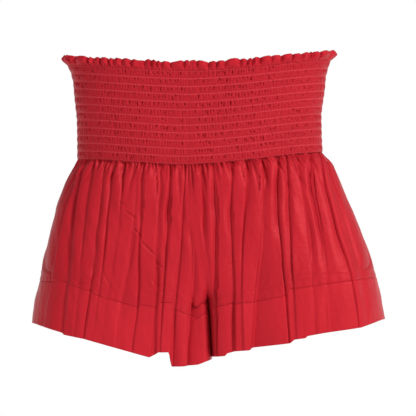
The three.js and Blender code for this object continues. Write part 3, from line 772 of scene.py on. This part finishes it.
details = {  # everything inside the shorts, depths inwards from the outer face of the cloth
    "threadSize": 0.5, "threadDepth": 3.4, "threadBelow": 0.4,
    "facingTop": 125, "facingBottom": 178, "facingWidth": 40, "facingDepth": 10.5, "facingInwards": 0.12,
    "bagTop": 180, "bagBottom": 252, "bagWidth": 52, "bagDepth": 12.0, "bagGap": 1.2, "bagInwards": 0.14,
    "pocketThickness": 0.3, "allowance": 8, "allowanceDepth": 10.0, "allowanceThickness": 1.2, "inseamDepth": 3.0,
    "loopPitch": 2.4, "loopHeight": 0.28, "riseDepth": 6.5, "riseStep": 0.8,
    "stitchLength": 3.2, "stitchSize": 0.28, "stitchStep": 0.8, "stitchOver": 0.74, "stitchHigh": 0.12,
    "stitchLow": 0.75,
    "label": (28, 42), "labelPlace": (20, 46.5, -126),
}


def unit(vectors):
    # Each vector over its own length.
    return vectors / np.maximum(np.linalg.norm(vectors, axis=1, keepdims=True), 1e-6)


def sampled(at, run, values):
    # The three coordinates, interpolated at running lengths.
    return np.stack([np.interp(at, run, values[:, k]) for k in range(3)], axis=1)


def tubeAlong(name, path, outward, radius, material, sides=7):
    # A closed thread: at each point of the path a ring of sides points about the outward direction.
    along = unit(np.roll(path, -1, 0) - np.roll(path, 1, 0))
    across = unit(np.cross(along, outward))
    up = np.cross(across, along)
    turn = np.linspace(0, 2 * np.pi, sides, endpoint=False)
    ring = np.cos(turn)[None, :, None] * across[:, None, :] + np.sin(turn)[None, :, None] * up[:, None, :]
    points = path[:, None, :] + radius * ring
    points = np.concatenate([points, points[:1]], axis=0)
    piece = meshFrom(name, points, material, closeRow=True)
    joinSeam(piece)
    return piece


def joinSeam(piece):
    # Joins the first and last ring, and turns the faces outwards.
    work = bmesh.new()
    work.from_mesh(piece.data)
    bmesh.ops.remove_doubles(work, verts=work.verts, dist=1e-6)
    bmesh.ops.recalc_face_normals(work, faces=work.faces)
    work.to_mesh(piece.data)
    work.free()
    piece.data.polygons.foreach_set("use_smooth", np.ones(len(piece.data.polygons), bool))


def ringPath(level, out, step):
    # A level line right round the body, as evenly spaced points with their outward directions.
    turns = []
    for half in halves:
        share = np.linspace(0, 2, 801)[None, :]
        inner = half.place(np.array([level]), share, np.full_like(share, out), 0 * share)[0]
        outer = half.place(np.array([level]), share, np.full_like(share, out + 1), 0 * share)[0]
        turns.append((inner, outer - inner) if half.side > 0 else (inner[::-1], (outer - inner)[::-1]))
    path = np.concatenate([turns[0][0], turns[1][0][1:-1]])
    outward = np.concatenate([turns[0][1], turns[1][1][1:-1]])
    return evenly(path, outward, step)


def evenly(path, outward, step):
    # The points and directions of a closed path, sampled at equal distances.
    closed = np.concatenate([path, path[:1]])
    directions = np.concatenate([outward, outward[:1]])
    run = np.concatenate([[0], np.cumsum(np.linalg.norm(np.diff(closed, axis=0), axis=1))])
    at = np.linspace(0, run[-1], int(run[-1] / step), endpoint=False)
    return sampled(at, run, closed), unit(sampled(at, run, directions))


def buildElastic():
    # A thread under each row of the shirring, right round the waist.
    for k in range(layout["rows"]):
        path, outward = ringPath(k * layout["rowPitch"] + details["threadBelow"], -details["threadDepth"], 2.0)
        thread = tubeAlong(f"elasticRow{k + 1:02d}", path, outward, details["threadSize"], elasticThread)
        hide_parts(f"elastic_row_{k + 1:02d}")
        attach(thread, "hips")
    print("elastic made")


def patch(half, name, levels, centre, width, out, rounded=False):
    # A flat piece of pocket silk inside the cloth: a rectangle of levels and of millimetres either side of a
    # share. If rounded, its lower part narrows as a quarter of an ellipse.
    _, _, length, _ = half.plan(levels)
    total = length[:, -1][:, None]
    across = np.linspace(-0.5, 0.5, 41)[None, :]
    fall = np.linspace(0, 1, len(levels))[:, None]
    narrow = np.sqrt(np.clip(1 - rounded * np.clip((fall - 0.6) / 0.4, 0, 1) ** 2, 0.02, 1))
    share = centre[:, None] + across * width * narrow / total
    points = half.place(levels, share, out + 0.3 * ripple(share * total, levels[:, None], 25, 71), 0 * share)
    return clothFrom(half, name, points, share * legs["uvAcross"], levels, silkPocket, details["pocketThickness"])


def buildPockets():
    # A facing behind the side seam of the hip, and a bag of two layers hung below it.
    for half in halves:
        lower = half.word.lower()
        levels = np.linspace(details["facingTop"], details["facingBottom"], 40)
        seam = half.seamShare(levels)
        facing = patch(
            half, f"pocketFacing{half.word}", levels, seam - details["facingInwards"],
            details["facingWidth"], -details["facingDepth"],
        )
        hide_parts(f"pocket_facing_{lower}")
        bendWithLeg(facing)
        levels = np.linspace(details["bagTop"], details["bagBottom"], 60)
        seam = half.seamShare(levels)
        for word, extra in (("Front", 0), ("Back", details["bagGap"])):
            bag = patch(
                half, f"pocketBag{word}{half.word}", levels, seam - details["bagInwards"],
                details["bagWidth"], -details["bagDepth"] - extra, rounded=True,
            )
            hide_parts(f"pocket_bag_{word.lower()}_{lower}")
            bendWithLeg(bag)
    print("pockets made")


def overlockLoops(run, across):
    # The height of the thread: a rounded wave along the seam, less a curve that lowers both edges.
    loops = details["loopHeight"] * np.abs(np.sin(np.pi * (run / details["loopPitch"] + across))) ** 0.6
    return loops, 0.6 * (2 * across) ** 2


def overlocked(half, name, levels, centre, depth, nodes):
    # A seam allowance: a strip along a line of shares, with loops of thread raised across it.
    _, _, length, _ = half.plan(levels)
    total = length[:, -1][:, None]
    across = np.linspace(-0.5, 0.5, 13)[None, :]
    loops, lowered = overlockLoops(levels[:, None], across)
    share = centre[:, None] + across * details["allowance"] / total
    share = np.clip(share, 0.0005, 1.9995)
    points = half.place(levels, share, -depth + loops - lowered, 0 * share)
    strip = clothFrom(
        half, name, points, share * legs["uvAcross"], levels, overlockThread, details["allowanceThickness"]
    )
    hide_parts(*nodes)
    return strip


def buildHemStitches():
    # A thread round each leg on the face of the seam, which comes up for each stitch and dips between.
    for half in halves:
        (front, frontOut), (back, backOut) = stitchRows[half.side]
        path, outward = evenly(
            np.concatenate([front, back[1:]]), np.concatenate([frontOut, backOut[1:]]), details["stitchStep"]
        )
        for k in range(3):
            looped = np.concatenate([outward[-2:, k], outward[:, k], outward[:2, k]])
            outward[:, k] = np.convolve(looped, np.ones(5) / 5, "valid")
        outward = unit(outward)
        phase = (np.arange(len(path)) * details["stitchStep"] / details["stitchLength"]) % 1
        over = details["stitchOver"]
        lift = np.where(phase < over, details["stitchHigh"] * np.sin(np.pi * phase / over), -details["stitchLow"])
        thread = tubeAlong(
            f"hemStitch{half.word}", path + outward * lift[:, None], outward, details["stitchSize"],
            overlockThread, sides=6,
        )
        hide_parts(f"hem_stitch_{half.word.lower()}")
        bendWithLeg(thread)
    print("hem stitches made")


def buildSeams():
    # The side seam from the waistband to the hem, and the inseam from the crotch to the hem.
    for half in halves:
        lower = half.word.lower()
        levels = np.linspace(lastRow + 2, layout["hemLevel"] - 3, 460)
        strip = overlocked(
            half, f"sideSeam{half.word}", levels, half.seamShare(levels), details["allowanceDepth"],
            (f"side_seam_hip_{lower}", f"side_seam_leg_{lower}"),
        )
        bendWithLeg(strip)
        levels = np.linspace(layout["crotchLevel"] + 6, layout["hemLevel"] - 3, 150)
        centre = np.full(len(levels), 0.045)
        strip = overlocked(
            half, f"inseam{half.word}", levels, centre, details["inseamDepth"], (f"inseam_{lower}",)
        )
        bendWithLeg(strip)
    print("seams made")


def buildRiseSeam():
    # The rise seam: front middle down, under the crotch and up the back middle, a strip along x at each point
    # of a path whose normal turns from forwards to downwards.
    half = halves[0]
    levels = np.linspace(lastRow + 2, layout["crotchLevel"] - 4, 240)
    _, y, _, _ = half.plan(levels)
    middle = half.middle(levels)
    inner = y[:, 0] + details["riseDepth"]
    front = np.stack([middle, inner, half.height(levels, 0 * levels, middle, 0)], axis=1)
    back = np.stack([middle, -inner, half.height(levels, 0 * levels, middle, 1)], axis=1)
    path = np.concatenate([front, back[::-1]])
    run = np.concatenate([[0], np.cumsum(np.linalg.norm(np.diff(path, axis=0), axis=1))])
    at = np.arange(0, run[-1], details["riseStep"])
    path = sampled(at, run, path)
    inward = unit(np.cross(np.array([1.0, 0, 0]), np.gradient(path, axis=0)))
    across = np.linspace(-0.5, 0.5, 13)[None, :, None]
    loops, lowered = overlockLoops(at[:, None, None], across)
    points = path[:, None, :] + across * np.array([details["allowance"], 0, 0])
    points = points + inward[:, None, :] * (loops - lowered)
    same = 0 * points[..., 0]
    uv = np.stack([same + across[..., 0] * details["allowance"], at[:, None] + same], axis=2)
    strip = meshFrom("riseSeam", points, overlockThread, details["allowanceThickness"], uv=uv)
    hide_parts("rise_seam")
    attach(strip, "hips")


def buildLabel():
    # The blank care label: a ribbon folded at its lower end, as a path of y and z carried along x.
    width, tall = details["label"]
    x0, y0, z0 = details["labelPlace"]
    t = np.linspace(0, 1, 61)
    bend = np.clip((t - 0.47) / 0.06, 0, 1) * np.pi
    down, up = tall * np.clip(t / 0.47, 0, 1), tall * np.clip((t - 0.53) / 0.47, 0, 1)
    z = np.where(t < 0.5, z0 - down, z0 - tall + up) - 0.5 * np.sin(bend)
    y = y0 + 0.45 * (1 - np.cos(bend)) + 1.2 * np.sin((z - z0) / tall * 2.2)
    x, t = np.meshgrid(np.linspace(-width / 2, width / 2, 31), t)
    y, z = y[:, None] + 0 * x, z[:, None] + 0 * x
    curl = 0.004 * x ** 2
    points = np.stack([x0 + x, y - curl + 0.25 * np.sin(x / 5) * np.sin(z / 13), z], axis=2)
    uv = np.stack([x, t * (2 * tall)], axis=2)
    label = meshFrom("careLabelBlank", points, labelTape, 0.2, uv=uv)
    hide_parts("care_label")
    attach(label, "hips")


buildElastic()
buildHemStitches()
buildPockets()
buildSeams()
buildRiseSeam()
buildLabel()


lamps = {  # place, what it points at, size across in metres, and power in watts
    "keyLight": ((2.5, -2.3, 1.9), (0.02, 0, -0.17), 0.9, 132),
    "fillLight": ((-1.2, -3.0, 0.8), (0, 0, -0.17), 1.6, 14),
    "backLight": ((0.3, 3.2, 2.4), (0, 0, -0.17), 1.4, 45),
}
stage = {"floorDrop": 0.24, "halfWidth": 12, "wallAt": 2.9, "glow": 0.25, "skyStrength": 0.38}  # metres, strengths


def addArea(name, place, aim, size, power):
    # A round white area lamp, turned from its place towards its aim, that the camera doesn't see.
    data = bpy.data.lights.new(name, "AREA")
    data.shape = "DISK"
    data.size = size
    data.energy = power
    lamp = bpy.data.objects.new(name, data)
    lamp.visible_camera = False
    lamp.location = place
    lamp.rotation_euler = (Vector(aim) - Vector(place)).to_track_quat("-Z", "Y").to_euler()
    bpy.context.collection.objects.link(lamp)


def buildStage():
    # A flat pale floor, and a room that is white round the sides and softer above.
    wide = stage["halfWidth"]
    x, y = np.meshgrid(np.linspace(-wide, wide, 9), np.linspace(-wide, stage["wallAt"], 9))
    points = np.stack([x, y, np.full((9, 9), cadBox[0][2] - stage["floorDrop"])], axis=2)
    paper = bpy.data.materials.new("paperMattWhite")
    paper.use_nodes = True
    shader = paper.node_tree.nodes["Principled BSDF"]
    shader.inputs["Base Color"].default_value = toLinear("#f6f6f6")
    shader.inputs["Roughness"].default_value = 0.9
    shader.inputs["Emission Color"].default_value = toLinear("#ffffff")
    shader.inputs["Emission Strength"].default_value = stage["glow"]
    floor = meshFrom("paperFloor", points * 1000, paper)
    world = bpy.data.worlds.new("softRoom")
    bpy.context.scene.world = world
    world.use_nodes = True
    tree = world.node_tree
    place = addNode(tree, "ShaderNodeTexCoord")
    parts = addNode(tree, "ShaderNodeSeparateXYZ", Vector=place.outputs["Generated"])
    band = addNode(
        tree, "ShaderNodeMapRange", {"interpolation_type": "SMOOTHSTEP"}, Value=parts.outputs["Z"],
        From_Min=0.06, From_Max=0.3, To_Min=1.0, To_Max=stage["skyStrength"],
    )
    background = tree.nodes["Background"]
    background.inputs["Color"].default_value = toLinear("#ffffff")
    tree.links.new(band.outputs["Result"], background.inputs["Strength"])
    for name, (place, aim, size, power) in lamps.items():
        addArea(name, place, aim, size, power)
    print("stage made")


buildStage()

view = {"sensor": 36, "distance": 5.0, "width": 0.506, "across": 0.0103, "height": -0.1746}  # mm, then metres
camera = bpy.data.objects.new("camera", bpy.data.cameras.new("camera"))
camera.data.sensor_width = view["sensor"]
camera.data.lens = view["sensor"] * view["distance"] / view["width"]
camera.location = (view["across"], -view["distance"], view["height"])
camera.rotation_euler = (math.pi / 2, 0, 0)
camera.data.clip_end = 50
bpy.context.collection.objects.link(camera)
bpy.context.scene.camera = camera
bpy.context.scene.view_settings.view_transform = "Standard"

print("scene ready")
